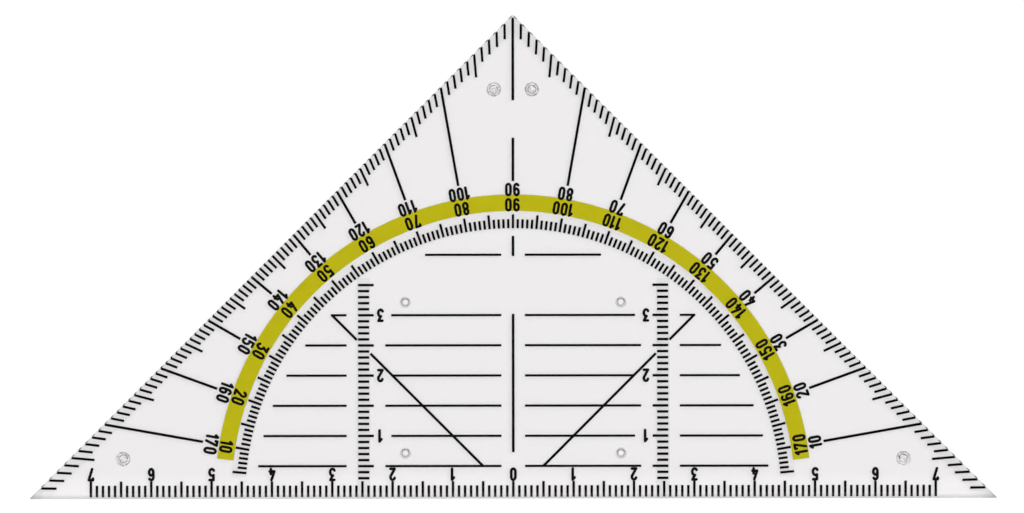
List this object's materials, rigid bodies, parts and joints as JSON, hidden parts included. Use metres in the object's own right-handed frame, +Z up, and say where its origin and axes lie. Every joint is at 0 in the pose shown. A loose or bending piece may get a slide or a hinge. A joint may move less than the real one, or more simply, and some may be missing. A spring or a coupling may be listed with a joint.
{
  "type": "set square",
  "caption": "Clear 45 degree set square with a printed half-circle protractor, a millimetre ruling edge, guide lines and moulded feet.",
  "frame": {"origin": "foot of the ruling edge under its zero mark, at the level of the table the feet stand on", "axes": "+X along the ruling edge, to the right as it is read in the picture; +Y away from the ruling edge, towards the right-angled corner; +Z up, out of the read side"},
  "size_m": [0.16, 0.0801, 0.0025],
  "materials": {
    "clear_plastic": "clear, polished",
    "green_ink": "printed yellow-green ink",
    "black_ink": "printed black ink"
  },
  "bodies": {
    "root": {"clear_plate": "clear_plastic", "protractor_band": "green_ink", "millimetre_scale": "black_ink", "arc_degree_scale": "black_ink", "centre_line": "black_ink", "left_leg_degree_scale": "black_ink", "left_ten_degree_rays": "black_ink", "left_guide_lines": "black_ink", "left_diagonal_line": "black_ink", "left_height_scale": "black_ink", "right_leg_degree_scale": "black_ink", "right_ten_degree_rays": "black_ink", "right_guide_lines": "black_ink", "right_diagonal_line": "black_ink", "right_height_scale": "black_ink"}
  },
  "joints": []
}
